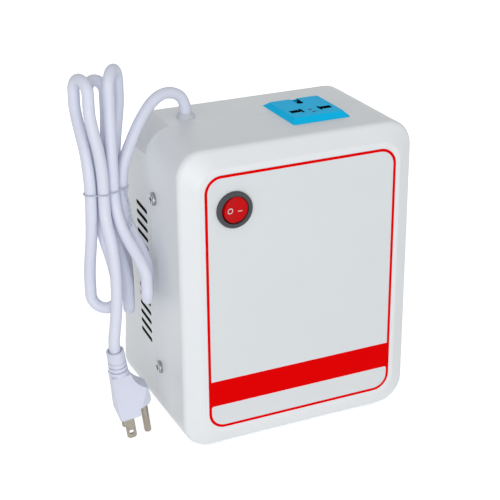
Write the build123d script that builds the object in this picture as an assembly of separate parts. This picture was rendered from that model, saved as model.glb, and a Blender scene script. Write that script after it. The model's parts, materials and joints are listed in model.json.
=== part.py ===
from build123d import *
import math
import os

# Travel voltage converter: a two-shell plastic case round a laminated transformer, with a round
# rocker switch, a universal socket on top and a mains cord tied in a hank beside the case.
# Millimetres. X to the right, Y to the back, Z up. The origin is under the middle of the case,
# on the surface that its rubber feet stand on.

# Case
case_width = 157.0
case_height = 198.0
wall = 2.6
corner_radius = 17.0        # corners of the case, seen from the front
cover_depth = 53.0          # front face to the seam between the two shells
depth_top = 97.0            # front face to the back wall, at the top
depth_bottom = 124.0        # front face to the back wall, at the bottom
rear_edge_radius = 8.0
face_margin = 10.9          # sloped ring round the flat front face
bevel_depth = 6.2
face_radius = 14.0
crease_radius = 4.0
face_edge_radius = 1.6
chamfer_leg = 16.5          # slanted top left corner of the rear shell
rim_depth = 3.6             # rounded rim of the rear shell, between the seam and the slanted corner
lap = 3.0                   # lip of the rear shell inside the front one
lip_thickness = 1.4
fit = 0.15                  # clearance between moulded pieces that fit together
seam_edge = 0.4             # rounded edges of both shells along the seam
cut = 1.0                   # overrun of every cut
foot_height = 4.0
foot_radius = 7.0
foot_edge = 1.0
foot_inset = 20.0           # to the case's sides and its front
foot_back_inset = 15.0

# Vents in both side walls of the rear shell
vent_count = 15
vent_pitch = 6.4
vent_length = 18.8
vent_width = 2.2
vent_tilt = 5.5             # degrees, down towards the front
vent_offset = 15.4          # middle of the vents behind the seam
vent_wall = 1.2             # side wall thinned inside, round the vents
vent_margin = 3.0           # thin wall past the vents

# Screws that join the shells through the side walls
side_screw_y = 45.5         # from the front face
side_screw_inset = 41.0     # from the top and the bottom of the case
screw_radius = 2.0
screw_clearance = 0.2
screw_length = 12.0
head_radius = 4.2
head_height = 2.3
head_edge = 1.0
recess_length = 4.6         # cross recess
recess_width = 1.0
recess_depth = 1.2
ear_thickness = 3.0
ear_width = 14.0
ear_reach = 8.0             # ear past the screw
boss_radius = 4.0
boss_length = 5.0

# Front label
label_side_margin = 14.2    # to the case's sides
label_end_margin = 14.65    # to the case's top and bottom
label_radius = 11.0
label_thickness = 0.3

# Round rocker switch
switch_side = 18.9          # from the label's left edge
switch_drop = 22.6          # from the label's top edge
bezel_radius = 11.5
bezel_thickness = 2.0
bezel_edge = 0.8
barrel_radius = 9.9
barrel_bore = 8.8
barrel_length = 17.0
barrel_floor = 3.0
rocker_radius = 8.1
rocker_tilt = 8.0           # degrees from the middle to either side
pivot_depth = 3.2           # pivot behind the bezel's front
rocker_rise = 2.2           # middle of the rocker's V above its pivot
rocker_skirt = 2.2
rocker_stem = 6.0
rocker_stem_width = 5.0
pivot_radius = 1.2
pivot_clearance = 0.06
pivot_end_gap = 0.15
tab_width = 6.3
tab_thickness = 0.8
tab_length = 9.0
tab_pitch = 5.6
snap_width = 5.0
snap_height = 0.8
snap_length = 4.0

# Universal socket
socket_side = 25.6          # middle of the socket right of the case's middle
socket_front = 24.0         # front face to the plate's front edge
plate_width = 39.4
plate_depth = 45.6
plate_height = 3.0
plate_side_bevel = 2.6
plate_end_bevel = 4.8
plate_radius = 1.6
block_width = 33.0
block_depth = 37.0
block_height = 24.0
block_floor = 3.0
pole_line = 16.4            # plate's front edge to the line of the two poles
blade_offset = 6.35
blade_slot_width = 1.9
blade_slot_length = 7.4
round_offset = 9.5
round_radius = 2.6
flat_offset = 11.1
flat_length = 6.4
flat_width = 5.0
earth_line = 22.2           # earth hole behind the line of the two poles
earth_length = 9.0
earth_width = 5.0
earth_round_step = 6.4
cavity_side = 9.7           # middle of a pole's cavity from the socket's middle
cavity_width = 12.0
cavity_depth = 9.6
earth_cavity_depth = 15.0
contact_thickness = 0.8
contact_height = 15.0
contact_tail = 6.0
contact_tail_width = 4.8

# Transformer
core_height = 80.0
core_side_gap = 30.5        # core to the case's sides
leg_share = 1 / 6           # each outer leg's share of the core's width
core_joint = 0.1
bolt_radius = 2.5
bolt_hole_gap = 0.3
bolt_head_radius = 4.6
bolt_head_height = 3.5
nut_height = 4.0
bobbin_wall = 1.5
bobbin_gap = 0.3
flange_thickness = 1.6
winding_build = 10.0
winding_gap = 0.3
coil_back_gap = 2.3         # winding to the sloped back wall
split_share = 0.52          # share of the winding height taken by the input side
clamp_thickness = 1.5
clamp_inset = 3.0           # clamp narrower than the stack, front and back
clamp_front_gap = 4.4       # clamp behind the rear shell's rim
clamp_foot = 11.5
clamp_gap = 0.1
base_bolt_edge = 5.5        # bolts to the front and back edges of the clamp
base_bolt_radius = 2.0
base_head_radius = 3.6
base_head_height = 2.4
base_head_edge = 0.6
cutout_length = 20.0
cutout_width = 8.0
cutout_height = 4.0

# Terminal block on the core clamp
block_ways = 4
way_pitch = 8.0
terminal_depth = 16.0
terminal_height = 11.0
way_hole_radius = 1.6
way_screw_radius = 1.8
way_well_radius = 2.2
way_well_depth = 4.0
way_screw_height = 3.0

# Gland
gland_inset = 31.7          # right of the case's left side
gland_back = 69.0           # behind the front face
gland_flange_radius = 5.8
gland_flange = 2.0
gland_collar_radius = 4.8
gland_tip_radius = 4.4
gland_collar = 0.8
gland_thread_radius = 4.6
gland_thread = 11.0
gland_nut_radius = 7.6
gland_nut = 4.0

# Cord. Its points are left of the case's side, behind the front face and above the case's bottom
cord_diameter = 7.3
bend_share = 0.45           # share of the shorter run taken by each bend
lead_rise = 5.0             # straight run out of the gland
lead_points = (
    (-28.0, 68.7, 213.0),
    (-18.5, 66.9, 216.6),
    (-7.5, 63.9, 212.4),
    (3.0, 60.3, 202.2),
    (11.7, 57.3, 189.0),
)
tail_drop = 7.0             # straight run down from the waist
tail_points = (
    (31.2, 45.2, 144.9),
    (29.4, 42.2, 133.5),
    (28.6, 40.1, 118.0),
    (29.4, 38.0, 98.9),
    (31.1, 38.8, 80.0),
)
tail_entry = 7.0            # straight run into the plug

# Hank: three loops above the waist and three below it, each with a half turn at its end
waist_left = 17.5           # first strand, left of the case's side
waist_back = 55.3           # first strand, behind the front face
waist_rise = 165.0          # above the case's bottom
waist_run = 10.0            # straight run of each strand through the waist
waist_step = 7.9            # between neighbouring strands at the waist
waist_shares = (            # places of the strands, left and back of the first one, in steps
    (0, 0),
    (0.81, -0.6),
    (0.08, 1.05),
    (0.91, 0.42),
    (1.9, 0.23),
    (2.66, -0.6),
    (1.735, -0.98),
)
hank_turns = (              # middle of each half turn: left, behind, heading, reach, radius
    (10.2, 35.7, -111.7, 97.0, 8.7),
    (17.3, 61.5, 52.2, 236.0, 8.7),
    (13.9, 61.3, -110.2, 79.7, 8.1),
    (24.8, 70.9, 123.5, 228.2, 6.5),
    (33.1, 52.1, 142.8, 87.3, 8.6),
    (38.1, 59.3, -75.6, 233.2, 7.9),
)
gap_step = 2.0              # between the points that the hank's least gap is measured on

# Twist tie round the waist
tie_radius = 0.9
tie_gap = 0.15
tie_end_radius = 1.3        # both wires twisted together
tie_length = 23.0
tie_lean = 18.0             # twisted end, out towards the front

# Plug
plug_left = 25.7            # left of the case's side
plug_back = 43.0            # behind the front face
plug_tip_height = 1.5       # tip of the earth pin above the floor
plug_turn = -5.3
plug_lean = -7.3
plug_pitch = 4.4
blade_width = 6.3
blade_thickness = 1.5
blade_length = 17.0
blade_spacing = 12.7
blade_tip = 1.4
blade_root = 8.0
blade_hole_radius = 1.6
blade_hole_rise = 4.6
pin_radius = 2.38
pin_length = 20.5           # past the blades' face
pin_spacing = 11.9
pin_tip = 1.4
pin_root_radius = 2.0       # step that holds the pin in the moulding
plug_side = 6.2             # middle of the blades to the plug's side away from the pin
plug_front = 5.6
plug_step = 7.4             # blades' face ends here; the nose's own face is set back from it
plug_step_lean = 0.5
plug_nose = 16.5
plug_nose_face = 4.6        # nose's face behind the blades' face
plug_nose_foot = 14.6       # nose at its own face
plug_nose_low = 6.9
plug_nose_high = 16.5
plug_nose_draft = 0.6
plug_half_depth = 10.6
plug_nose_half = 5.4
plug_length = 30.0
plug_bulge = 1.6            # rounding of the sides towards the neck
plug_radius = 2.2
neck_side = 5.8
neck_nose = 6.4
neck_half_depth = 6.2
relief_length = 17.0
relief_radius = 6.1
relief_tip_radius = 5.6
relief_recess = 1.4
recess_clearance = 0.7
groove_depth = 0.8
groove_width = 1.0
groove_count = 3
groove_pitch = 3.2
groove_start = 3.0

# Places worked out from the sizes above
share_square = 2 - math.sqrt(2)
base_z = foot_height
top_z = base_z + case_height
mid_z = base_z + case_height / 2
half_width = case_width / 2
slope = (depth_bottom - depth_top) / case_height
slope_length = math.hypot(1, slope)
rear_reach = depth_bottom + rear_edge_radius * (1 - slope - slope_length)
raised = rocker_rise + rocker_radius * math.sin(math.radians(2 * rocker_tilt))
front_reach = label_thickness + bezel_thickness - pivot_depth + raised
face_y = (front_reach - rear_reach) / 2
seam_y = face_y + cover_depth
lip_inset = wall + fit + lip_thickness
label_width = case_width - 2 * label_side_margin
label_height = case_height - 2 * label_end_margin
switch_x = switch_side - label_width / 2
switch_z = mid_z + label_height / 2 - switch_drop
bezel_back = face_y - label_thickness
pivot_y = bezel_back - bezel_thickness + pivot_depth
socket_x = socket_side
socket_y = face_y + socket_front + plate_depth / 2
pole_y = face_y + socket_front + pole_line
gland_side = half_width - gland_inset
core_width = case_width - 2 * core_side_gap
leg_width = core_width * leg_share
core_z = base_z + wall + clamp_thickness + core_height / 2
window_low = core_z - core_height / 2 + leg_width
window_high = core_z + core_height / 2 - leg_width
back_wall = depth_bottom - slope * (window_high - base_z) - wall * slope_length
coil_reach = bobbin_gap + bobbin_wall + winding_build
clamp_front = cover_depth + rim_depth + clamp_front_gap
core_stack = back_wall - coil_back_gap - coil_reach - clamp_front + clamp_inset
clamp_depth = core_stack - 2 * clamp_inset
core_y = face_y + clamp_front + clamp_depth / 2


def upright(y):
    # plane of the front view at depth y, centred on the case
    return Plane(origin=(0, y, mid_z), x_dir=(1, 0, 0), z_dir=(0, -1, 0))


def slab(outline, y, depth):
    return extrude(upright(y) * outline, amount=depth, dir=(0, 1, 0))


def case_outline(inset):
    return RectangleRounded(case_width - 2 * inset, case_height - 2 * inset, corner_radius - inset)


def box_between(x0, x1, y0, y1, z0, z1):
    middle = ((x0 + x1) / 2, (y0 + y1) / 2, (z0 + z1) / 2)
    return Pos(*middle) * Box(x1 - x0, y1 - y0, z1 - z0)


def rod(x, y, z, radius, length, axis):
    # round bar from a point, along an axis
    plane = Plane(origin=(x, y, z), z_dir=axis)
    return extrude(plane * Circle(radius), amount=length)


def at_y(shape, y):
    return shape.edges().filter_by(lambda edge: abs(edge.center().Y - y) < fit)


# Front shell
def cover_form(inset):
    front = face_y + inset
    face = RectangleRounded(case_width - 2 * face_margin - 2 * inset,
                            case_height - 2 * face_margin - 2 * inset, face_radius - inset)
    ring = loft([upright(front) * face, upright(front + bevel_depth) * case_outline(inset)],
                ruled=True)
    body = ring + slab(case_outline(inset), front + bevel_depth,
                       seam_y - front - bevel_depth + (cut if inset else 0))
    if not inset:
        body = fillet(at_y(body, front + bevel_depth), crease_radius)
        body = fillet(at_y(body, front), face_edge_radius)
        body = fillet(at_y(body, seam_y), seam_edge)
    return body


def switch_axis_rod(radius, y, length):
    return rod(switch_x, y, switch_z, radius, length, (0, 1, 0))


def side_screw_places():
    for side in (-1, 1):
        for z in (base_z + side_screw_inset, top_z - side_screw_inset):
            yield side, z


def socket_window():
    return box_between(socket_x - block_width / 2 - fit, socket_x + block_width / 2 + fit,
                       socket_y - block_depth / 2 - fit, socket_y + block_depth / 2 + fit,
                       top_z - lip_inset - cut, top_z + cut)


def front_cover():
    shell = cover_form(0) - cover_form(wall)
    shell -= switch_axis_rod(barrel_radius + fit, face_y - cut, wall + 2 * cut)
    for side, z in side_screw_places():
        shell -= rod(side * (half_width + cut), face_y + side_screw_y, z,
                     screw_radius + screw_clearance, wall + 2 * cut, (-side, 0, 0))
    return shell - socket_window()


# Rear shell
def rear_outline(inset):
    # three rounded corners and a slanted one at the top left
    frame = Rectangle(case_width - 2 * inset, case_height - 2 * inset)
    corners = frame.vertices().sort_by(lambda corner: corner.Y - corner.X)
    frame = fillet(corners[:-1], corner_radius - inset)
    slanted = frame.vertices().sort_by(lambda corner: corner.Y - corner.X)[-1]
    return chamfer(slanted, chamfer_leg - inset * share_square)


def rear_form(inset, y_front):
    # wedge between the seam and the sloped back wall
    low, high = base_z + inset, top_z - inset
    back_low = face_y + depth_bottom - inset * slope_length - inset * slope
    back_high = face_y + depth_top - inset * slope_length + inset * slope
    side = Polygon((y_front, low), (back_low, low), (back_high, high), (y_front, high), align=None)
    across = Plane(origin=(-half_width - cut, 0, 0), x_dir=(0, 1, 0), z_dir=(1, 0, 0))
    wedge = extrude(across * side, amount=case_width + 2 * cut)
    body = slab(rear_outline(inset), y_front, face_y + depth_bottom - y_front) & wedge
    back = body.faces().sort_by(Axis.Y)[-1]
    return fillet(back.edges(), rear_edge_radius - inset)


def vents():
    places = [(i - (vent_count - 1) / 2) * vent_pitch for i in range(vent_count)]
    slots = Sketch() + [Pos(0, z) * Rot(0, 0, vent_tilt) * SlotOverall(vent_length, vent_width)
                        for z in places]
    plane = Plane(origin=(-half_width - cut, seam_y + vent_offset, mid_z), x_dir=(0, 1, 0),
                  z_dir=(1, 0, 0))
    return extrude(plane * slots, amount=case_width + 2 * cut)


def vent_pockets():
    # thin the side walls from the inside, round the vents
    pockets = Part()
    half_y = vent_length / 2 + vent_margin
    half_z = (vent_count - 1) / 2 * vent_pitch + vent_width + vent_margin
    y = seam_y + vent_offset
    for side in (-1, 1):
        inner, outer = side * (half_width - wall - cut), side * (half_width - vent_wall)
        pockets += box_between(min(inner, outer), max(inner, outer), y - half_y, y + half_y,
                               mid_z - half_z, mid_z + half_z)
    return pockets


def screw_ears():
    ears = Part()
    for side, z in side_screw_places():
        outer = side * (half_width - wall - fit)
        inner = outer - side * ear_thickness
        y = face_y + side_screw_y
        ear = box_between(min(inner, outer), max(inner, outer), y - ear_reach, seam_y + cut,
                          z - ear_width / 2, z + ear_width / 2)
        ear += rod(inner + side * cut, y, z, boss_radius, boss_length + cut, (-side, 0, 0))
        ears += ear
    return ears


def screw_holes():
    holes = Part()
    for side, z in side_screw_places():
        holes += rod(side * (half_width + cut), face_y + side_screw_y, z,
                     screw_radius + screw_clearance / 2, screw_length + 2 * cut, (-side, 0, 0))
    return holes


def rear_housing():
    rim = slab(case_outline(0), seam_y, rim_depth)
    rim = fillet(at_y(rim, seam_y), seam_edge)
    lip = slab(case_outline(wall + fit), seam_y - lap, lap + rim_depth)
    throat = rear_outline(wall) & case_outline(lip_inset)
    hollow = slab(throat, seam_y - lap - cut, lap + cut + rim_depth)
    hollow += rear_form(wall, seam_y + rim_depth)
    shell = rear_form(0, seam_y + seam_edge) + rim + lip - hollow
    shell -= vents()
    shell -= vent_pockets()
    shell += screw_ears()
    shell -= screw_holes()
    shell -= socket_window()
    shell -= rod(-gland_side, face_y + gland_back, top_z + cut, gland_thread_radius + fit,
                 wall + 2 * cut, (0, 0, -1))
    for x, y in base_bolt_places():
        shell -= rod(x, y, base_z - cut, base_bolt_radius + fit, wall + 2 * cut, (0, 0, 1))
    return shell


# Label and feet
def front_label():
    sheet = slab(RectangleRounded(label_width, label_height, label_radius), face_y - label_thickness,
                 label_thickness)
    return sheet - switch_axis_rod(barrel_radius + 2 * fit, face_y - cut, 2 * cut)


def foot_places():
    for x in (-half_width + foot_inset, half_width - foot_inset):
        for y in (face_y + foot_inset, face_y + depth_bottom - foot_back_inset):
            yield x, y


def rubber_feet():
    feet = []
    for x, y in foot_places():
        foot = Pos(x, y, foot_height / 2) * Cylinder(foot_radius, foot_height)
        feet.append(chamfer(foot.edges().sort_by(Axis.Z)[:1], foot_edge))
    return Compound(children=feet)


# Screws
def pan_head(radius, height, edge):
    head = Pos(0, 0, height / 2) * Cylinder(radius, height)
    head = fillet(head.edges().sort_by(Axis.Z)[-1:], edge)
    cross = Rectangle(recess_length, recess_width) + Rectangle(recess_width, recess_length)
    return head - Pos(0, 0, height - recess_depth) * extrude(cross, amount=recess_depth + cut)


def case_screws():
    screws = []
    for side, z in side_screw_places():
        shank = Pos(0, 0, -screw_length / 2) * Cylinder(screw_radius, screw_length)
        screw = pan_head(head_radius, head_height, head_edge) + shank
        plane = Plane(origin=(side * half_width, face_y + side_screw_y, z), z_dir=(side, 0, 0))
        screws.append(plane.location * screw)
    return Compound(children=screws)


# Rocker switch, turned about its own vertical pivot
def switch_housing():
    bezel = switch_axis_rod(bezel_radius, bezel_back - bezel_thickness, bezel_thickness)
    bezel = fillet(at_y(bezel, bezel_back - bezel_thickness), bezel_edge)
    body = bezel + switch_axis_rod(barrel_radius, bezel_back, barrel_length)
    body -= switch_axis_rod(barrel_bore, bezel_back - bezel_thickness - cut,
                            bezel_thickness + cut + barrel_length - barrel_floor)
    snap_y = face_y + wall + fit
    for side in (-1, 1):
        inner = switch_x + side * (barrel_radius - snap_height / 2)
        outer = switch_x + side * (barrel_radius + snap_height)
        body += box_between(min(inner, outer), max(inner, outer), snap_y, snap_y + snap_length,
                            switch_z - snap_width / 2, switch_z + snap_width / 2)
    pins = rod(switch_x, pivot_y, switch_z - barrel_radius - cut, pivot_radius + pivot_clearance,
               2 * barrel_radius + 2 * cut, (0, 0, 1))
    body -= pins
    for tab in tab_boxes(fit / 2):
        body -= tab
    return body


def tab_boxes(gap):
    back = bezel_back + barrel_length
    for i in (-1, 0, 1):
        x = switch_x + i * tab_pitch
        yield box_between(x - tab_thickness / 2 - gap, x + tab_thickness / 2 + gap,
                          back - barrel_floor, back + tab_length,
                          switch_z - tab_width / 2 - gap, switch_z + tab_width / 2 + gap)


def switch_terminals():
    return Compound(children=list(tab_boxes(0)))


def switch_rocker():
    # drawn about its pivot with the front towards -Y, then tilted to its rest
    lean = math.radians(rocker_tilt)
    edge = rocker_rise + rocker_radius * math.tan(lean)
    profile = Polygon((-rocker_radius, rocker_skirt), (rocker_radius, rocker_skirt),
                      (rocker_radius, -edge), (0, -rocker_rise), (-rocker_radius, -edge), align=None)
    button = extrude(profile, amount=rocker_radius, both=True)
    button &= rod(0, -edge - cut, 0, rocker_radius, edge + rocker_skirt + 2 * cut, (0, 1, 0))
    button += box_between(-rocker_stem_width / 2, rocker_stem_width / 2, 0, rocker_stem,
                          -rocker_stem_width, rocker_stem_width)
    reach = barrel_radius - pivot_end_gap
    button += rod(0, 0, -reach, pivot_radius, 2 * reach, (0, 0, 1))
    return Pos(switch_x, pivot_y, switch_z) * Rot(0, 0, rocker_tilt) * button


# Universal socket
def pole_hole(side):
    hole = Pos(side * round_offset, 0) * Circle(round_radius)
    hole += Pos(side * flat_offset, 0) * Rectangle(flat_length, flat_width)
    return hole + Pos(side * blade_offset, 0) * Rectangle(blade_slot_width, blade_slot_length)


def earth_hole():
    hole = Pos(0, earth_line) * Rectangle(earth_width, earth_length)
    return hole + Pos(0, earth_line - earth_round_step) * Circle(round_radius)


def socket_plate():
    foot = RectangleRounded(plate_width, plate_depth, plate_radius)
    face = RectangleRounded(plate_width - 2 * plate_side_bevel, plate_depth - 2 * plate_end_bevel,
                            plate_radius)
    base = Plane(origin=(socket_x, socket_y, top_z))
    plate = loft([base * foot, base.offset(plate_height) * face], ruled=True)
    holes = pole_hole(-1) + pole_hole(1) + earth_hole()
    drill = Plane(origin=(socket_x, pole_y, top_z - cut))
    return plate - extrude(drill * holes, amount=plate_height + 2 * cut)


def cavity(side, grow):
    # room under one hole of the plate: side -1 and 1 are the poles, 0 the earth
    x = socket_x + side * cavity_side
    width = cavity_width if side else cavity_depth
    depth = cavity_depth if side else earth_cavity_depth
    y = pole_y + (0 if side else earth_line - earth_round_step / 2)
    return box_between(x - width / 2 - grow, x + width / 2 + grow, y - depth / 2 - grow,
                       y + depth / 2 + grow, top_z - block_height + block_floor, top_z + cut)


def socket_body():
    block = box_between(socket_x - block_width / 2, socket_x + block_width / 2,
                        socket_y - block_depth / 2, socket_y + block_depth / 2,
                        top_z - block_height, top_z)
    block = fillet(block.edges().filter_by(Axis.Z), plate_radius)
    for side in (-1, 0, 1):
        block -= cavity(side, 0)
        block -= contact_tail_box(side, fit)
    return block


def contact_tail_box(side, grow):
    room = cavity(side, 0).bounding_box()
    x, y = room.center().X, room.center().Y
    return box_between(x - contact_tail_width / 2 - grow, x + contact_tail_width / 2 + grow,
                       y - contact_thickness / 2 - grow, y + contact_thickness / 2 + grow,
                       top_z - block_height - contact_tail,
                       top_z - block_height + block_floor + grow)


def socket_contact(side):
    # folded strip: a floor, two leaves against the cavity's sides and a solder tail
    room = cavity(side, -fit).bounding_box()
    low = top_z - block_height + block_floor
    strip = box_between(room.min.X, room.max.X, room.min.Y, room.max.Y, low, low + contact_height)
    inner = box_between(room.min.X - cut, room.max.X + cut, room.min.Y + contact_thickness,
                        room.max.Y - contact_thickness, low + contact_thickness,
                        low + contact_height + cut)
    return strip - inner + contact_tail_box(side, 0)


# Transformer
def core_block(x0, x1, z0, z1):
    return box_between(x0, x1, core_y - core_stack / 2, core_y + core_stack / 2, z0, z1)


def bolt_places():
    for x in (-core_width / 2 + leg_width / 2, core_width / 2 - leg_width / 2):
        for z in (window_low - leg_width / 2, window_high + leg_width / 2):
            yield x, z


def drilled(solid):
    for x, z in bolt_places():
        solid -= rod(x, core_y - core_stack / 2 - cut, z, bolt_radius + bolt_hole_gap,
                     core_stack + 2 * cut, (0, 1, 0))
    return solid


def core_e_stack():
    low = core_z - core_height / 2
    high = core_z + core_height / 2 - leg_width
    stack = core_block(-core_width / 2, core_width / 2, low, high)
    for side in (-1, 1):
        inner, outer = side * leg_width, side * 2 * leg_width
        stack -= core_block(min(inner, outer), max(inner, outer), low + leg_width, high + cut)
    return drilled(stack)


def core_i_stack():
    high = core_z + core_height / 2
    return drilled(core_block(-core_width / 2, core_width / 2, high - leg_width + core_joint, high))


former_half_x = leg_width + bobbin_gap + bobbin_wall
former_half_y = core_stack / 2 + bobbin_gap + bobbin_wall
flange_half_x = 2 * leg_width - bobbin_gap
flange_half_y = former_half_y + winding_build
former_low = window_low + bobbin_gap
former_high = window_high - bobbin_gap
split_z = former_low + (former_high - former_low) * split_share


def around_leg(half_x, half_y, z0, z1):
    return box_between(-half_x, half_x, core_y - half_y, core_y + half_y, z0, z1)


def coil_bobbin():
    former = around_leg(former_half_x, former_half_y, former_low, former_high)
    for z in (former_low, split_z - flange_thickness / 2, former_high - flange_thickness):
        former += around_leg(flange_half_x, flange_half_y, z, z + flange_thickness)
    return former - around_leg(leg_width + bobbin_gap, core_stack / 2 + bobbin_gap,
                               former_low - cut, former_high + cut)


def winding(z0, z1):
    build = winding_build - winding_gap
    outer = around_leg(flange_half_x - winding_gap, former_half_y + build, z0, z1)
    outer = fillet(outer.edges().filter_by(Axis.Z), build / 2)
    return outer - around_leg(former_half_x + winding_gap / 2, former_half_y + winding_gap / 2,
                              z0 - cut, z1 + cut)


def core_clamp():
    # steel strap over the core, turned out at the bottom into two bolted feet
    low = core_z - core_height / 2 - clamp_thickness
    half = core_width / 2 + clamp_gap + clamp_thickness
    high = core_z + core_height / 2 + clamp_gap + clamp_thickness
    y0, y1 = core_y - clamp_depth / 2, core_y + clamp_depth / 2
    strap = box_between(-half, half, y0, y1, low, high)
    strap -= box_between(-half + clamp_thickness, half - clamp_thickness, y0 - cut, y1 + cut,
                         low - cut, high - clamp_thickness)
    for side in (-1, 1):
        inner, outer = side * (half - clamp_thickness), side * (half + clamp_foot)
        strap += box_between(min(inner, outer), max(inner, outer), y0, y1, low, low + clamp_thickness)
    for x, y in base_bolt_places():
        strap -= rod(x, y, low - cut, base_bolt_radius + fit, clamp_thickness + 2 * cut, (0, 0, 1))
    return strap


def core_pad():
    # insulating board between the core and the case floor
    low = base_z + wall
    half = core_width / 2 - clamp_gap
    return box_between(-half, half, core_y - clamp_depth / 2, core_y + clamp_depth / 2, low,
                       low + clamp_thickness)


def base_bolt_places():
    x = core_width / 2 + clamp_gap + clamp_thickness + clamp_foot / 2
    for side in (-1, 1):
        for y in (core_y - clamp_depth / 2 + base_bolt_edge, core_y + clamp_depth / 2 - base_bolt_edge):
            yield side * x, y


def hexagon(radius, height):
    return extrude(RegularPolygon(radius, 6), amount=height)


def core_bolts():
    bolts = []
    for x, z in bolt_places():
        plane = Plane(origin=(x, core_y - core_stack / 2, z), z_dir=(0, -1, 0))
        bolt = hexagon(bolt_head_radius, bolt_head_height)
        bolt += Pos(0, 0, -(core_stack + nut_height + cut) / 2) * Cylinder(
            bolt_radius, core_stack + nut_height + cut)
        bolts.append(plane.location * bolt)
    return Compound(children=bolts)


def core_nuts():
    nuts = []
    for x, z in bolt_places():
        plane = Plane(origin=(x, core_y + core_stack / 2, z), z_dir=(0, 1, 0))
        nut = hexagon(bolt_head_radius, nut_height) - extrude(
            Circle(bolt_radius + pivot_clearance), amount=nut_height)
        nuts.append(plane.location * nut)
    return Compound(children=nuts)


def base_bolts():
    bolts = []
    grip = wall + clamp_thickness + nut_height
    for x, y in base_bolt_places():
        head = Pos(x, y, base_z - base_head_height / 2) * Cylinder(base_head_radius, base_head_height)
        head = chamfer(head.edges().sort_by(Axis.Z)[:1], base_head_edge)
        head -= box_between(x - base_head_radius, x + base_head_radius, y - recess_width / 2,
                            y + recess_width / 2, base_z - base_head_height - cut,
                            base_z - base_head_height + recess_depth)
        bolts.append(head + rod(x, y, base_z, base_bolt_radius, grip + cut, (0, 0, 1)))
    return Compound(children=bolts)


def base_nuts():
    nuts = []
    low = base_z + wall + clamp_thickness
    for x, y in base_bolt_places():
        nut = Pos(x, y, low) * hexagon(base_head_radius, nut_height)
        nuts.append(nut - rod(x, y, low - cut, base_bolt_radius + pivot_clearance,
                              nut_height + 2 * cut, (0, 0, 1)))
    return Compound(children=nuts)


def thermal_cutout():
    # sits flat on the front of the output winding
    front = core_y - former_half_y - winding_build + winding_gap
    z = (split_z + former_high) / 2
    body = box_between(-cutout_length / 2, cutout_length / 2, front - cutout_height, front,
                       z - cutout_width / 2, z + cutout_width / 2)
    return fillet(body.edges().filter_by(Axis.X), plate_radius)


# Terminal block on top of the core clamp
terminal_z = core_z + core_height / 2 + clamp_gap + clamp_thickness
terminal_x = -core_width / 4


def way_places():
    for i in range(block_ways):
        yield terminal_x + (i - (block_ways - 1) / 2) * way_pitch


def terminal_block():
    half = block_ways * way_pitch / 2
    block = box_between(terminal_x - half, terminal_x + half, core_y - terminal_depth / 2,
                        core_y + terminal_depth / 2, terminal_z, terminal_z + terminal_height)
    block = fillet(block.edges().filter_by(Axis.Z), plate_radius)
    for x in way_places():
        block -= rod(x, core_y - terminal_depth / 2 - cut, terminal_z + terminal_height / 3,
                     way_hole_radius, terminal_depth + 2 * cut, (0, 1, 0))
        block -= rod(x, core_y, terminal_z + terminal_height + cut, way_well_radius,
                     way_well_depth + cut, (0, 0, -1))
    return block


def terminal_screws():
    screws = []
    low = terminal_z + terminal_height - way_well_depth
    for x in way_places():
        screws.append(rod(x, core_y, low, way_screw_radius, way_screw_height, (0, 0, 1)))
    return Compound(children=screws)


# Cord gland
def cord_gland():
    flange = Pos(0, 0, gland_flange / 2) * Cylinder(gland_flange_radius, gland_flange)
    flange = fillet(flange.edges().sort_by(Axis.Z)[-1:], gland_flange / 3)
    collar = Pos(0, 0, gland_flange + gland_collar / 2) * Cone(
        gland_collar_radius, gland_tip_radius, gland_collar)
    thread = Pos(0, 0, -gland_thread / 2) * Cylinder(gland_thread_radius, gland_thread)
    return Pos(-gland_side, face_y + gland_back, top_z) * (flange + collar + thread)


def gland_nut_ring():
    nut = hexagon(gland_nut_radius, gland_nut)
    nut -= extrude(Circle(gland_thread_radius + pivot_clearance), amount=gland_nut)
    return Pos(-gland_side, face_y + gland_back, top_z - wall - gland_nut) * nut


# Cord
def cord_spot(left, back, rise):
    return Vector(-half_width - left, face_y + back, base_z + rise)


def strand_spot(index, offset):
    left, back = waist_shares[index]
    return cord_spot(waist_left + left * waist_step, waist_back + back * waist_step,
                     waist_rise + offset)


def rounded_route(points):
    runs = [after - before for before, after in zip(points, points[1:])]
    radii = []
    for before, after in zip(runs, runs[1:]):
        half_turn = math.radians(before.get_angle(after)) / 2
        radii.append(bend_share * min(before.length, after.length) / math.tan(half_turn))
    return FilletPolyline(*points, radius=radii), radii


def tube(path):
    section = Plane(origin=path @ 0, z_dir=path % 0) * Circle(cord_diameter / 2)
    return sweep(section, path=path)


def report_tube(name, path, solid):
    measured = solid.volume
    expected = math.pi * cord_diameter ** 2 / 4 * path.length
    print(name, "length", round(path.length, 1), "volume", round(measured, 1), "expected",
          round(expected, 1))


def lead_route():
    tip = gland_flange + gland_collar
    start = cord_spot(-gland_inset, gland_back, case_height + tip)
    points = [start, start + Vector(0, 0, lead_rise)]
    points += [cord_spot(*point) for point in lead_points]
    end = strand_spot(0, waist_run / 2)
    points += [end + Vector(0, 0, waist_run), end]
    return rounded_route(points)


def tail_route():
    start = strand_spot(len(waist_shares) - 1, -waist_run / 2)
    points = [start, start - Vector(0, 0, tail_drop)]
    points += [cord_spot(*point) for point in tail_points]
    seat = plug_length + relief_length - relief_recess
    points += [(plug_spot() * Pos(0, 0, seat + tail_entry)).position,
               (plug_spot() * Pos(0, 0, seat)).position]
    return rounded_route(points)


# Hank: from each strand at the waist two opposite arcs lead out to a half turn, and two lead back
def swing(start, end, heading):
    middle = (start + end) / 2
    first = TangentArc(start, middle, tangent=heading)
    return [first, TangentArc(middle, end, tangent=first % 1)]


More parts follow.
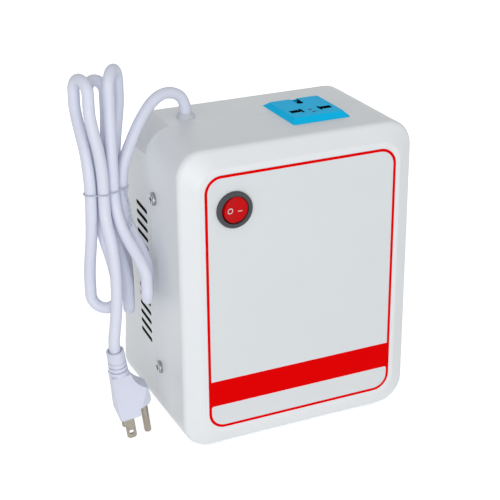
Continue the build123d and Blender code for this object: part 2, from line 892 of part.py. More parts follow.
def hank_path():
    pieces = []
    for index, (left, back, heading, reach, radius) in enumerate(hank_turns):
        side = 1 if index % 2 else -1
        up = Vector(0, 0, side)
        across = Vector(radius, 0, 0).rotate(Axis.Z, heading)
        top = cord_spot(left, back, reach)
        centre = top - up * radius
        start = strand_spot(index, side * waist_run / 2)
        end = strand_spot(index + 1, side * waist_run / 2)
        pieces.append(Line(strand_spot(index, -side * waist_run / 2), start))
        pieces += swing(start, centre - across, up)
        pieces.append(TangentArc(centre - across, top, tangent=up))
        pieces.append(TangentArc(top, centre + across, tangent=across))
        pieces += swing(centre + across, end, -up)
    last = len(hank_turns)
    pieces.append(Line(strand_spot(last, waist_run / 2), strand_spot(last, -waist_run / 2)))
    return Wire([piece.edge() for piece in pieces])


def least_gap(path):
    # between points that lie more than a half turn apart along the cord
    count = int(path.length / gap_step)
    spots = [path @ (i / count) for i in range(count + 1)]
    apart = int(3 * cord_diameter / gap_step)
    return min((spots[i] - spots[j]).length for i in range(len(spots))
               for j in range(i + apart, len(spots))) - cord_diameter


# Twist tie
def tie_ring():
    # through the outer strands, in their order round the bundle
    corners = [strand_spot(index, 0) for index in (0, 1, 6, 5, 4, 2)]
    outline = Polygon(*[(spot.X, spot.Y) for spot in corners], align=None)
    outline = offset(outline, amount=cord_diameter / 2 + tie_gap + tie_radius, kind=Kind.ARC)
    path = Pos(0, 0, corners[0].Z) * outline.face().outer_wire()
    section = Plane(origin=path @ 0, z_dir=path % 0) * Circle(tie_radius)
    return sweep(section, path=path)


def twist_tie():
    knot = strand_spot(0, 0) - Vector(0, cord_diameter / 2 + 2 * tie_gap + tie_end_radius, 0)
    end = Rot(180 - tie_lean, 0, 0) * rod(0, 0, 0, tie_end_radius, tie_length, (0, 0, 1))
    return tie_ring() + Pos(*knot) * end


# Plug, drawn with its face on Z = 0, the cord upwards and the earth pin towards +X
def plug_spot():
    turned = Rot(0, 0, plug_turn) * Rot(0, plug_lean, 0) * Rot(plug_pitch, 0, 0)
    low = (turned * Pos(pin_spacing, 0, -pin_length)).position.Z
    return Pos(-half_width - plug_left, face_y + plug_back, plug_tip_height - low) * turned


def blade_boxes():
    for side in (-1, 1):
        y = side * blade_spacing / 2
        yield y, box_between(-blade_width / 2, blade_width / 2, y - blade_thickness / 2,
                             y + blade_thickness / 2, -blade_length, blade_root)


def plug_outline():
    points = [(-plug_side, -plug_half_depth), (plug_front, -plug_half_depth),
              (plug_nose, -plug_nose_half), (plug_nose, plug_nose_half),
              (plug_front, plug_half_depth), (-plug_side, plug_half_depth)]
    outline = Polygon(*points, align=None)
    return fillet(outline.vertices(), plug_radius)


def plug_profile():
    # seen along the line of the blades
    crest = (plug_nose - plug_nose_draft, plug_nose_high)
    line = Polyline((-neck_side, plug_length), (-plug_side, 0), (plug_step, 0),
                    (plug_step + plug_step_lean, plug_nose_face), (plug_nose_foot, plug_nose_face),
                    (plug_nose, plug_nose_low), crest)
    line += SagittaArc(crest, (neck_nose, plug_length), plug_radius)
    line += Line((neck_nose, plug_length), (-neck_side, plug_length))
    return make_face(line)


def plug_waisted():
    # seen along the flats of the blades
    line = Line((-plug_half_depth, 0), (plug_half_depth, 0))
    line += SagittaArc((plug_half_depth, 0), (neck_half_depth, plug_length), plug_bulge)
    line += Line((neck_half_depth, plug_length), (-neck_half_depth, plug_length))
    line += SagittaArc((-neck_half_depth, plug_length), (-plug_half_depth, 0), plug_bulge)
    return make_face(line)


def plug_body():
    body = extrude(plug_outline(), amount=plug_length)
    body &= extrude(Plane.XZ * plug_profile(), amount=plug_half_depth + cut, both=True)
    body &= extrude(Plane.YZ * plug_waisted(), amount=plug_nose + cut, both=True)
    for _, box in blade_boxes():
        body -= box
    body -= rod(pin_spacing, 0, plug_nose_face - cut, pin_root_radius, blade_root + cut, (0, 0, 1))
    return plug_spot() * body


def strain_relief():
    top = relief_length
    relief = Pos(0, 0, top / 2) * Cone(relief_radius, relief_tip_radius, top)
    for i in range(groove_count):
        ring = Cylinder(relief_radius + cut, groove_width)
        ring -= Cylinder(relief_tip_radius - groove_depth + i * groove_depth / groove_count, groove_width)
        relief -= Pos(0, 0, groove_start + i * groove_pitch) * ring
    well = rod(0, 0, top + cut, cord_diameter / 2 + recess_clearance, relief_recess + cut, (0, 0, -1))
    return plug_spot() * Pos(0, 0, plug_length) * (relief - well)


def plug_blades():
    blades = []
    for y, blade in blade_boxes():
        tips = blade.edges().filter_by(Axis.Y).sort_by(Axis.Z)[:2]
        blade = chamfer(tips, blade_tip)
        blade -= rod(0, y - blade_thickness, blade_hole_rise - blade_length, blade_hole_radius,
                     2 * blade_thickness, (0, 1, 0))
        blades.append(plug_spot() * blade)
    return Compound(children=blades)


def earth_pin():
    pin = rod(0, 0, -pin_length, pin_radius, pin_length + plug_nose_face, (0, 0, 1))
    pin = fillet(pin.edges().sort_by(Axis.Z)[:1], pin_tip)
    pin += rod(0, 0, plug_nose_face, pin_root_radius, blade_root, (0, 0, 1))
    return plug_spot() * Pos(pin_spacing, 0, 0) * pin


os.makedirs("parts", exist_ok=True)
pieces = {
    "front_cover": front_cover(),
    "rear_housing": rear_housing(),
    "front_label": front_label(),
    "rubber_feet": rubber_feet(),
    "case_screws": case_screws(),
    "switch_housing": switch_housing(),
    "switch_rocker": switch_rocker(),
    "switch_terminals": switch_terminals(),
    "socket_plate": socket_plate(),
    "socket_body": socket_body(),
    "line_contact": socket_contact(-1),
    "neutral_contact": socket_contact(1),
    "earth_contact": socket_contact(0),
    "core_e_stack": core_e_stack(),
    "core_i_stack": core_i_stack(),
    "coil_bobbin": coil_bobbin(),
    "input_winding": winding(former_low + flange_thickness + winding_gap,
                             split_z - flange_thickness / 2 - winding_gap),
    "output_winding": winding(split_z + flange_thickness / 2 + winding_gap,
                              former_high - flange_thickness - winding_gap),
    "core_clamp": core_clamp(),
    "core_pad": core_pad(),
    "core_bolts": core_bolts(),
    "core_nuts": core_nuts(),
    "base_bolts": base_bolts(),
    "base_nuts": base_nuts(),
    "thermal_cutout": thermal_cutout(),
    "terminal_block": terminal_block(),
    "terminal_screws": terminal_screws(),
    "cord_gland": cord_gland(),
    "gland_nut": gland_nut_ring(),
    "twist_tie": twist_tie(),
    "plug_body": plug_body(),
    "strain_relief": strain_relief(),
    "plug_blades": plug_blades(),
    "earth_pin": earth_pin(),
}
for name, route in (("cord_lead", lead_route()), ("cord_tail", tail_route())):
    path, radii = route
    pieces[name] = tube(path)
    report_tube(name, path, pieces[name])
    print(name, "radii", [round(radius, 1) for radius in radii])
hank = hank_path()
pieces["cord_hank"] = tube(hank)
report_tube("cord_hank", hank, pieces["cord_hank"])
print("cord_hank least gap", round(least_gap(hank), 2))
for name, solid in pieces.items():
    export_step(solid, f"parts/{name}.step")
print("front face at", round(face_y, 3), "seam at", round(seam_y, 3), "nodes", len(pieces))
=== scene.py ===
import json
import math

import bpy
from mathutils import Matrix, Vector


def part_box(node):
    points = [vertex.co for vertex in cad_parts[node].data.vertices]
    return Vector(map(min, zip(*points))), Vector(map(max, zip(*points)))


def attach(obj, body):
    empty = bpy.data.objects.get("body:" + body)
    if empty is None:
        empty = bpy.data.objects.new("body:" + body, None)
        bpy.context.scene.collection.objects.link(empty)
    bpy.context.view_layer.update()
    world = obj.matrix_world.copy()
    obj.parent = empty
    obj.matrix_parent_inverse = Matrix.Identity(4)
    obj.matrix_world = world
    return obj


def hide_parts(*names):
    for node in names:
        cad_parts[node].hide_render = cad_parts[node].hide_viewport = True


# Travel voltage converter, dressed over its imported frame. Metres, Z up, the label towards -Y.
# In the dictionaries sizes and places are in millimetres and angles in degrees. Only the camera's
# place, the cord's whole length and the stage are in metres.
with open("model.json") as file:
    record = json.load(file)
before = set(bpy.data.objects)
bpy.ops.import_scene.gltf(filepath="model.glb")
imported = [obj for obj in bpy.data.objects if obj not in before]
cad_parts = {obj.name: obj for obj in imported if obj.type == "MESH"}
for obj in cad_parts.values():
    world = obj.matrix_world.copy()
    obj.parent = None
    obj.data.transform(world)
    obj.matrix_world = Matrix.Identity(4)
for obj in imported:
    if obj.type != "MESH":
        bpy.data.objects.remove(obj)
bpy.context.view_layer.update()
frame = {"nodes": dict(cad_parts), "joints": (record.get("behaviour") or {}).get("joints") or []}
nodes = frame["nodes"]
mm = 0.001
up = Vector((0, 0, 1))
# the case's left side, front face and bottom, from which places are measured
datum = {"side": 78.5, "front": -59.651, "bottom": 4.0}
# what all finishes share
common = {
    "specular": 0.5,
    "coatRoughness": 0.1,
    "glossSpread": 0.04,
    "patchDetail": 3.0,
    "grainDetail": 4.0,
    "bandWaver": 0.3,
    "bumpHeight": 0.2,
}


# Small helpers
def toLinear(code):
    # an sRGB hex code to linear
    channels = [int(code[i:i + 2], 16) / 255 for i in (1, 3, 5)]
    return [c / 12.92 if c <= 0.04045 else ((c + 0.055) / 1.055) ** 2.4 for c in channels] + [1]


def addNode(tree, kind, values=None, links=None, **settings):
    node = tree.nodes.new(kind)
    for name, setting in settings.items():
        setattr(node, name, setting)
    for socket, value in (values or {}).items():
        node.inputs[socket].default_value = value
    for socket, source in (links or {}).items():
        tree.links.new(source, node.inputs[socket])
    return node


def makeFinish(name, look):
    # colour with faint patches, gloss that varies with them, and grain or bands in the bump.
    # Real moulding grain and brush marks are about 0.1 mm wide, too fine for the render, so every
    # look draws them 0.5 to 1.1 mm wide, as coarse as they need to be to show
    material = bpy.data.materials.new(name)
    material.use_nodes = True
    tree = material.node_tree
    shader = tree.nodes["Principled BSDF"]
    shader.inputs["Metallic"].default_value = look.get("metallic", 0)
    shader.inputs["Specular IOR Level"].default_value = look.get("specular", common["specular"])
    shader.inputs["Coat Weight"].default_value = look.get("coat", 0)
    coatRoughness = look.get("coatRoughness", common["coatRoughness"])
    shader.inputs["Coat Roughness"].default_value = coatRoughness
    place = addNode(tree, "ShaderNodeTexCoord").outputs["Object"]
    patches = addNode(tree, "ShaderNodeTexNoise",
                      {"Scale": 1 / (look["patchSize"] * mm), "Detail": common["patchDetail"]},
                      {"Vector": place}).outputs[0]
    tint = addNode(tree, "ShaderNodeMix",
                   {6: toLinear(look["colour"]), 7: toLinear(look["patch"])},
                   {0: patches}, data_type="RGBA")
    tree.links.new(tint.outputs[2], shader.inputs["Base Color"])
    gloss = addNode(tree, "ShaderNodeMapRange",
                    {"To Min": look["roughness"] - common["glossSpread"],
                     "To Max": look["roughness"] + common["glossSpread"]}, {"Value": patches})
    tree.links.new(gloss.outputs[0], shader.inputs["Roughness"])
    if "bands" in look:
        # a wave texture's bands lie pi / (10 * Scale) apart
        direction, pitch = look["bands"]
        grain = addNode(tree, "ShaderNodeTexWave",
                        {"Scale": math.pi / (10 * pitch * mm), "Distortion": common["bandWaver"]},
                        {"Vector": place}, bands_direction=direction)
    else:
        grain = addNode(tree, "ShaderNodeTexNoise",
                        {"Scale": 1 / (look["grainSize"] * mm), "Detail": common["grainDetail"]},
                        {"Vector": place})
    bump = addNode(tree, "ShaderNodeBump",
                   {"Strength": look["grain"], "Distance": common["bumpHeight"] * mm},
                   {"Height": grain.outputs["Fac"]})
    tree.links.new(bump.outputs["Normal"], shader.inputs["Normal"])
    return material


def objectAxes(tree):
    place = addNode(tree, "ShaderNodeTexCoord").outputs["Object"]
    return addNode(tree, "ShaderNodeSeparateXYZ", links={0: place}).outputs


def paintOver(tree, mask, colour):
    # over the colour that the material has, where the mask is 1
    base = tree.nodes["Principled BSDF"].inputs["Base Color"]
    pick = addNode(tree, "ShaderNodeMix", {7: toLinear(colour)},
                   {0: mask, 6: base.links[0].from_socket}, data_type="RGBA")
    tree.links.new(pick.outputs[2], base)


def darken(material, colour, spans):
    # painted shade for an unlit space: all that lies within the spans along X, Y and Z takes the
    # dark colour
    tree = material.node_tree
    within = None
    for coordinate, (low, high) in zip(objectAxes(tree), spans):
        near = addNode(tree, "ShaderNodeMath", {1: (low + high) / 2, 2: (high - low) / 2},
                       {0: coordinate}, operation="COMPARE").outputs[0]
        if within is not None:
            near = addNode(tree, "ShaderNodeMath", links={0: within, 1: near},
                           operation="MULTIPLY").outputs[0]
        within = near
    paintOver(tree, within, colour)
    return material


def dress(material, *names):
    for name in names:
        slots = nodes[name].data.materials
        slots.clear()
        slots.append(material)


def addPlate(name, spot, width, height, tilt=(math.pi / 2, 0, 0)):
    # a flat plate at its size and place, towards -Y unless it is tilted
    bpy.ops.object.select_all(action="DESELECT")
    bpy.ops.mesh.primitive_plane_add(size=1, location=spot, rotation=tilt)
    plate = bpy.context.object
    plate.name = plate.data.name = name
    plate.scale = (width, height, 1)
    bpy.ops.object.transform_apply(location=True, rotation=True, scale=True)
    return plate


def roundCorners(radius, steps):
    bpy.ops.object.mode_set(mode="EDIT")
    bpy.ops.mesh.select_all(action="SELECT")
    bpy.ops.mesh.bevel(offset=radius, segments=steps, affect="VERTICES")
    bpy.ops.object.mode_set(mode="OBJECT")


def openRim(width):
    # only a rim of the plate is kept
    bpy.ops.object.mode_set(mode="EDIT")
    bpy.ops.mesh.select_all(action="SELECT")
    bpy.ops.mesh.inset(thickness=width)
    bpy.ops.mesh.delete(type="FACE")
    bpy.ops.object.mode_set(mode="OBJECT")


def applyModifier(piece, kind, **settings):
    modifier = piece.modifiers.new("step", kind)
    for name, setting in settings.items():
        setattr(modifier, name, setting)
    bpy.context.view_layer.objects.active = piece
    bpy.ops.object.modifier_apply(modifier=modifier.name)


def addTube(name, radius, steps, roundSteps, runs):
    # a round tube along smooth runs: the control points of each, and whether it is a closed ring
    curve = bpy.data.curves.new(name, "CURVE")
    curve.dimensions = "3D"
    curve.resolution_u = steps
    curve.bevel_depth = radius * mm
    curve.bevel_resolution = roundSteps
    curve.use_fill_caps = True
    for points, closed in runs:
        spline = curve.splines.new("NURBS")
        spline.points.add(len(points) - 1)
        for knot, point in zip(spline.points, points):
            knot.co = (*point, 1)
        spline.order_u = 3
        spline.use_endpoint_u = not closed
        spline.use_cyclic_u = closed
    tube = bpy.data.objects.new(name, curve)
    bpy.context.scene.collection.objects.link(tube)
    return tube


def mount(piece, material, body):
    piece.data.materials.append(material)
    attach(piece, body)


# Camera, as the photograph was taken
view = {
    "place": (-0.3393, -0.7244, 0.4549),
    "turn": 24.58,
    "down": 23.53,
    "roll": 0.49,
    "lens": 95.53,
    "sensor": 36,
}


def makeCamera():
    data = bpy.data.cameras.new("camera")
    data.lens = view["lens"]
    data.sensor_width = view["sensor"]
    camera = bpy.data.objects.new("camera", data)
    bpy.context.scene.collection.objects.link(camera)
    aim = Matrix.Rotation(math.radians(-view["turn"]), 4, "Z")
    aim = aim @ Matrix.Rotation(math.radians(90 - view["down"]), 4, "X")
    aim = aim @ Matrix.Rotation(math.radians(-view["roll"]), 4, "Z")
    camera.matrix_world = Matrix.Translation(view["place"]) @ aim
    bpy.context.scene.camera = camera


makeCamera()
print("camera done")

# Cord. A point is left of the case's side, behind its front face and above its bottom
cordLook = {  # extruded soft PVC: pale lavender with a broad, dull sheen along each strand
    "colour": "#DEE2F1", "patch": "#D8DCEC", "patchSize": 30.0, "roughness": 0.42,
    "specular": 0.35, "coat": 0.1, "grainSize": 0.7, "grain": 0.05,
}
cordSize = {"diameter": 7.3, "length": 1.14, "steps": 12, "roundSteps": 6}
cordExit = (-31.7, 69.0, 200.8)
lead = [  # up out of the gland, over, and down to the hank
    (-31.7, 69.0, 205.8),
    (-28.0, 68.7, 213.0),
    (-18.5, 66.9, 216.6),
    (-8.5, 63.9, 213.6),
    (1.2, 60.6, 203.5),
    (9.0, 58.0, 191.0),
    (14.6, 56.2, 180.0),
    (16.9, 55.5, 170.0),
]
tail = [  # from the hank's waist down to the plug
    (31.2, 47.6, 153.0),
    (31.2, 45.2, 144.9),
    (29.4, 42.2, 133.5),
    (28.6, 40.1, 118.0),
    (29.4, 38.0, 98.9),
    (31.1, 38.8, 80.0),
    (32.7, 39.5, 68.3),
    (31.8, 40.1, 61.4),
]
hank = {
    "left": 17.5,  # the first strand at the waist
    "back": 55.3,
    "rise": 165.0,
    "run": 10.0,  # upright stretch of each strand there
    "step": 7.9,
    # where the strands stand at the waist, left and back of the first, in steps
    "strands": [
        (0, 0), (0.81, -0.6), (0.08, 1.05), (0.91, 0.42), (1.9, 0.23), (2.66, -0.6), (1.735, -0.98),
    ],
    # left, back, heading, height of the far end, radius
    "folds": [
        (10.2, 35.7, -111.7, 97.0, 8.7),
        (17.3, 61.5, 52.2, 236.0, 8.7),
        (13.9, 61.3, -110.2, 79.7, 8.1),
        (24.8, 70.9, 123.5, 228.2, 6.5),
        (33.1, 52.1, 142.8, 87.3, 8.6),
        (38.1, 59.3, -75.6, 233.2, 7.9),
    ],
    "bendShare": 0.25,  # how far along its height a strand starts to swing across
    "cornerAngles": (-22.5, 22.5, 67.5, 112.5, 157.5, 202.5),  # round each fold
}


def cordSpot(left, back, rise):
    return mm * Vector((-datum["side"] - left, datum["front"] + back, datum["bottom"] + rise))


def strandSpot(index, offset):
    left, back = hank["strands"][index]
    return cordSpot(hank["left"] + left * hank["step"], hank["back"] + back * hank["step"],
                    hank["rise"] + offset)


def swingCorners(start, end):
    # the two corners of the long S between a strand at the waist and a leg of its loop
    drop = Vector((0, 0, (end.z - start.z) * hank["bendShare"]))
    return [start + drop, end - drop]


def hankCorners():
    corners = []
    flare = math.cos(math.radians(hank["cornerAngles"][0]))
    for index, (left, back, heading, reach, radius) in enumerate(hank["folds"]):
        side = 1 if index % 2 else -1  # the folds lie below and above the waist by turns
        across = Vector((math.cos(math.radians(heading)), math.sin(math.radians(heading)), 0))
        centre = cordSpot(left, back, reach - side * radius)
        out = radius * mm * across
        arm = radius * mm / flare
        corners += swingCorners(strandSpot(index, side * hank["run"] / 2), centre - out)
        for angle in hank["cornerAngles"]:
            turn = math.radians(angle)
            corners.append(centre + arm * (math.sin(turn) * side * up - math.cos(turn) * across))
        corners += swingCorners(centre + out, strandSpot(index + 1, side * hank["run"] / 2))
    return corners


def makeCord(material, tieWire):
    first = cordSpot(*cordExit)
    points = [first] + [cordSpot(*point) for point in lead] + hankCorners()
    points += [cordSpot(*point) for point in tail]
    cord = addTube("cord", cordSize["diameter"] / 2, cordSize["steps"], cordSize["roundSteps"],
                   [(points, False)])
    mount(cord, material, "case")
    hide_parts("cord_lead", "cord_hank", "cord_tail")


# Twist tie: one wire round the waist, and its two ends twisted together
tieLook = {  # plastic-coated steel wire: pale, dull, kinked where it was twisted by hand
    "colour": "#C6CAD8", "patch": "#B2B7C8", "patchSize": 4.0, "roughness": 0.5, "specular": 0.3,
    "grainSize": 1.1, "grain": 0.3,
}
tie = {
    "outerStrands": (0, 1, 6, 5, 4, 2),
    "radius": 0.42,
    "clear": 0.12,  # between the wire and the strands
    "roundness": 1.05,  # how far the ring bows out round a strand
    "knotOut": 2.16,
    "endLength": 25.0,
    "endLean": 18.0,
    "endSway": 1.5,
    "endPitch": 6.4,
    "endArm": 0.72,
    "knotShare": 0.35,  # the twist is tight at the knot and soon opens to its full arm
    "openShare": 6.0,
    "stepsPerTurn": 8,
    "steps": 6,
    "roundSteps": 3,
}


def tieRing():
    # four points round each outer strand, outside its corner of the bundle
    reach = (cordSize["diameter"] / 2 + tie["clear"] + tie["radius"]) * mm
    spots = [strandSpot(index, 0) for index in tie["outerStrands"]]
    points = []
    for i, spot in enumerate(spots):
        before = (spot - spots[i - 1]).normalized()
        after = (spots[(i + 1) % len(spots)] - spot).normalized()
        start, end = up.cross(before), up.cross(after)
        early = (2 * start + end).normalized() * tie["roundness"]
        late = (start + 2 * end).normalized() * tie["roundness"]
        points += [spot + arm * reach for arm in (start, early, late, end)]
    return points


def tieEnd(phase):
    # one of the two twisted wires, from the knot down and out to the front
    knotOut = (cordSize["diameter"] / 2 + tie["clear"] + tie["knotOut"]) * mm
    knot = strandSpot(0, 0) - Vector((0, knotOut, 0))
    lean = math.radians(tie["endLean"])
    down = Vector((0, -math.sin(lean), -math.cos(lean)))
    side = Vector((1, 0, 0))
    front = down.cross(side)
    count = int(tie["endLength"] / tie["endPitch"] * tie["stepsPerTurn"])
    points = []
    for i in range(count + 1):
        share = i / count
        angle = 2 * math.pi * i / tie["stepsPerTurn"] + phase
        arm = tie["endArm"] * mm * min(1, tie["knotShare"] + tie["openShare"] * share)
        sway = tie["endSway"] * mm * math.sin(share * math.pi) * side
        points.append(knot + down * tie["endLength"] * mm * share + sway
                      + arm * (math.cos(angle) * side + math.sin(angle) * front))
    return points


def makeTie(material):
    runs = [(tieRing(), True), (tieEnd(0), False), (tieEnd(math.pi), False)]
    wire = addTube("twist_tie_wire", tie["radius"], tie["steps"], tie["roundSteps"], runs)
    mount(wire, material, "case")
    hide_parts("twist_tie")
    return wire


makeCord(makeFinish("extrudedPvc", cordLook), makeTie(makeFinish("coatedWire", tieLook)))
print("cord done")

# Case
caseLook = {  # moulded gloss ABS: cool white, even, with a soft highlight along its rounded edges
    "colour": "#E8ECEE", "patch": "#E5E9EC", "patchSize": 40.0, "roughness": 0.42,
    "specular": 0.35, "coat": 0.12, "coatRoughness": 0.25, "grainSize": 0.7, "grain": 0.1,
}
screwLook = {  # nickel-plated pan-head screws: bright, with dark cross recesses
    "colour": "#B9BABB", "patch": "#8E8F91", "patchSize": 2.5, "roughness": 0.24, "metallic": 1,
    "grainSize": 0.7, "grain": 0.1,
}
footLook = {  # moulded rubber: matt black, slightly dusty
    "colour": "#1A1A1B", "patch": "#232324", "patchSize": 6.0, "roughness": 0.8,
    "grainSize": 0.8, "grain": 0.4,
}
insideShade = {  # painted shade for the unlit space behind the vents, up to just under the side walls' outer face
    "colour": "#08090A", "halfWidth": 78.35, "back": (54.0, 84.0), "rise": (40.0, 162.0),
}
vents = {  # rows of slots in both side walls, with painted shade in them and round them to a thin edge so that they look bold enough
    "colour": "#0C0D0F", "back": 68.4, "rise": 99.0, "count": 15, "pitch": 6.4, "length": 18.8,
    "width": 2.2, "tilt": 5.5, "edge": 0.5,
}


def shadeVents(material):
    # painted shade within half a slot's width, and the edge, of the nearest slot's middle line
    tree = material.node_tree
    axes = objectAxes(tree)
    radius, pitch = vents["width"] / 2 * mm, vents["pitch"] * mm
    found = {"y": axes[1], "z": axes[2]}
    steps = [
        ("along", "SUBTRACT", "y", (datum["front"] + vents["back"]) * mm),
        ("above", "SUBTRACT", "z", (datum["bottom"] + vents["rise"]) * mm),
        ("level", "MULTIPLY_ADD", "along", -math.tan(math.radians(vents["tilt"])), "above"),
        ("row", "WRAP", "level", pitch / 2, -pitch / 2),
        ("reach", "ABSOLUTE", "along"),
        ("past", "SUBTRACT", "reach", (vents["length"] / 2 - vents["edge"]) * mm - radius),
        ("end", "MAXIMUM", "past", 0),
        ("endSquare", "MULTIPLY", "end", "end"),
        ("square", "MULTIPLY_ADD", "row", "row", "endSquare"),
        ("slot", "LESS_THAN", "square", (radius + vents["edge"] * mm) ** 2),
        ("rows", "COMPARE", "level", 0, vents["count"] / 2 * pitch),
        ("dark", "MULTIPLY", "slot", "rows"),
    ]
    for name, operation, *terms in steps:
        links = {i: found[term] for i, term in enumerate(terms) if isinstance(term, str)}
        values = {i: term for i, term in enumerate(terms) if not isinstance(term, str)}
        step = addNode(tree, "ShaderNodeMath", values, links, operation=operation)
        found[name] = step.outputs[0]
    paintOver(tree, found["dark"], vents["colour"])
    return material


def dressCase():
    # painted shade: the case's inside behind the vents takes a near-black colour, and the slots
    # take painted shade in and round them
    spans = [(-insideShade["halfWidth"] * mm, insideShade["halfWidth"] * mm)]
    spans += [tuple((datum["front"] + back) * mm for back in insideShade["back"])]
    spans += [tuple((datum["bottom"] + rise) * mm for rise in insideShade["rise"])]
    shell = shadeVents(darken(makeFinish("glossAbs", caseLook), insideShade["colour"], spans))
    dress(shell, "front_cover", "rear_housing")
    dress(makeFinish("nickelSteel", screwLook), "case_screws")
    dress(makeFinish("mouldedRubber", footLook), "rubber_feet")


dressCase()
print("case done")

# Label: a pale film with a coloured outline, a coloured band and a pale strip below it
labelLook = {  # printed polyester film: smooth and flat, a little darker than the case
    "colour": "#DEE3E6", "patch": "#DBE0E3", "patchSize": 50.0, "roughness": 0.4, "specular": 0.2,
    "grainSize": 0.9, "grain": 0.03,
}
inkLook = {  # screen ink under a matt film: strong red that takes almost no highlight
    "colour": "#E60103", "patch": "#E20002", "patchSize": 20.0, "roughness": 0.6,
    "specular": 0.02, "grainSize": 0.9, "grain": 0.02,
}
label = {
    "radius": 11.0,
    "edge": 0.1,  # bare film outside the outline
    "outline": 1.9,
    "bandLow": 16.2,
    "bandHigh": 33.5,
    "ink": 0.05,  # proud of the film
    "sunk": 0.02,  # and into it
    "cornerSteps": 10,
    "stripRadius": 1.5,
    "cutter": 2.0,
}


def labelArea(name, x0, x1, z0, z1):
    # an area of the film's face, given by its sides
    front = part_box("front_label")[0][1] - label["ink"] * mm
    return addPlate(name, ((x0 + x1) / 2, front, (z0 + z1) / 2), x1 - x0, z1 - z0)


def printLabel():
    ink = makeFinish("screenInk", inkLook)
    depth = (label["ink"] + label["sunk"]) * mm
    (x0, _, z0), (x1, _, z1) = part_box("front_label")
    edge, line = label["edge"] * mm, label["outline"] * mm
    outline = labelArea("label_outline", x0 + edge, x1 - edge, z0 + edge, z1 - edge)
    roundCorners(label["radius"] * mm - edge, label["cornerSteps"])
    openRim(line - edge)
    applyModifier(outline, "SOLIDIFY", thickness=depth, offset=-1)
    mount(outline, ink, "case")
    # the band reaches down round the strip's rounded upper corners
    curl = label["stripRadius"] * mm
    low, high = z0 + label["bandLow"] * mm, z0 + label["bandHigh"] * mm
    band = labelArea("label_band", x0 + line, x1 - line, low - curl, high)
    applyModifier(band, "SOLIDIFY", thickness=depth, offset=-1)
    strip = labelArea("strip_cutter", x0 + line, x1 - line, z0, low)
    roundCorners(curl, label["cornerSteps"])
    applyModifier(strip, "SOLIDIFY", thickness=label["cutter"] * mm, offset=0)
    applyModifier(band, "BOOLEAN", object=strip, operation="DIFFERENCE")
    bpy.data.objects.remove(strip)
    mount(band, ink, "case")


dress(makeFinish("polyesterFilm", labelLook), "front_label")
printLabel()
print("label done")

# Switch
bezelLook = {  # moulded glass-filled nylon: dark grey, satin
    "colour": "#46484C", "patch": "#404246", "patchSize": 8.0, "roughness": 0.42, "specular": 0.3,
    "grainSize": 0.7, "grain": 0.12,
}
rockerLook = {  # moulded clear red polycarbonate: deep, even red with a faint gloss
    "colour": "#CC0408", "patch": "#C00206", "patchSize": 6.0, "roughness": 0.3, "specular": 0.1,
    "coat": 0.03, "grainSize": 0.7, "grain": 0.03,
}
markLook = {  # pad print: thin off-white ink
    "colour": "#E8DEDC", "patch": "#DED4D2", "patchSize": 2.0, "roughness": 0.4,
    "grainSize": 0.5, "grain": 0.02,
}
switch = {
    "rest": 8.0,  # the rocker's lean
    "rise": 2.2,  # from its pivots to the middle of its face
    "ringAcross": 3.8,
    "ringRadius": 1.8,
    "ringStretch": 1.12,
    "ringWidth": 0.55,
    "ringSteps": 32,
    "barAcross": 3.1,
    "barDrop": 1.2,
    "barHeight": 0.42,
    "barWidth": 2.9,
    "barCorner": 0.14,
    "cornerSteps": 3,
    "proud": 0.04,
    "depth": 0.08,
}


def rockerSpot(across, above):
    # a point just proud of the rocker's V-shaped face
    slope = math.tan(math.radians(switch["rest"]))
    out = switch["rise"] + abs(across) * slope + switch["proud"]
    pivot = Vector(frame["joints"][0]["pos_m"])
    turned = Matrix.Rotation(math.radians(switch["rest"]), 3, "Z")
    return pivot + turned @ (mm * Vector((across, -out, above)))


def printRocker():
    # each half of the face is flat: the left one leans twice as far as the rocker, and the right
    # one faces -Y
    paint = makeFinish("padPrint", markLook)
    lean = math.radians(2 * switch["rest"])
    bpy.ops.object.select_all(action="DESELECT")
    bpy.ops.mesh.primitive_circle_add(
        vertices=switch["ringSteps"], radius=switch["ringRadius"] * mm, fill_type="NGON",
        location=rockerSpot(-switch["ringAcross"], 0), rotation=(math.pi / 2, 0, lean))
    ring = bpy.context.object
    ring.name = ring.data.name = "rocker_off_mark"
    ring.scale = (switch["ringStretch"], 1, 1)
    bpy.ops.object.transform_apply(location=True, rotation=True, scale=True)
    openRim(switch["ringWidth"] * mm)
    bar = addPlate("rocker_on_mark", rockerSpot(switch["barAcross"], -switch["barDrop"]),
                   switch["barWidth"] * mm, switch["barHeight"] * mm)
    roundCorners(switch["barCorner"] * mm, switch["cornerSteps"])
    for piece in (ring, bar):
        applyModifier(piece, "SOLIDIFY", thickness=switch["depth"] * mm, offset=-1)
        mount(piece, paint, "rocker")


dress(makeFinish("greyNylon", bezelLook), "switch_housing")
dress(makeFinish("redPolycarbonate", rockerLook), "switch_rocker")
printRocker()
print("switch done")

# Socket
plateLook = {  # moulded polycarbonate: clear light blue, satin
    "colour": "#02C8FF", "patch": "#01C2FA", "patchSize": 12.0, "roughness": 0.5, "specular": 0.1,
    "grainSize": 0.7, "grain": 0.08,
}
blackLook = {  # moulded PBT: black, satin
    "colour": "#121315", "patch": "#0D0E0F", "patchSize": 10.0, "roughness": 0.5, "specular": 0.2,
    "grainSize": 0.7, "grain": 0.1,
}
brassLook = {  # stamped brass: warm yellow with faint rolling marks
    "colour": "#C9A24D", "patch": "#B58E3F", "patchSize": 4.0, "roughness": 0.3, "metallic": 1,
    "grainSize": 0.6, "grain": 0.1,
}
socket = {
    # painted shade on the walls of the plate's holes
    "hollow": "#0B1216",
    "margin": (3.2, 5.4),  # from the plate's sides to its holes
    "below": 0.15,  # the plate's face, where the painted shade starts
    "windows": [(25.1, 40.3), (25.4, 35.3)],
    "windowSize": (2.6, 1.6),
    "cornerShare": 1 / 3,
    "cornerSteps": 4,
    "proud": 0.03,
    "depth": 0.08,
}


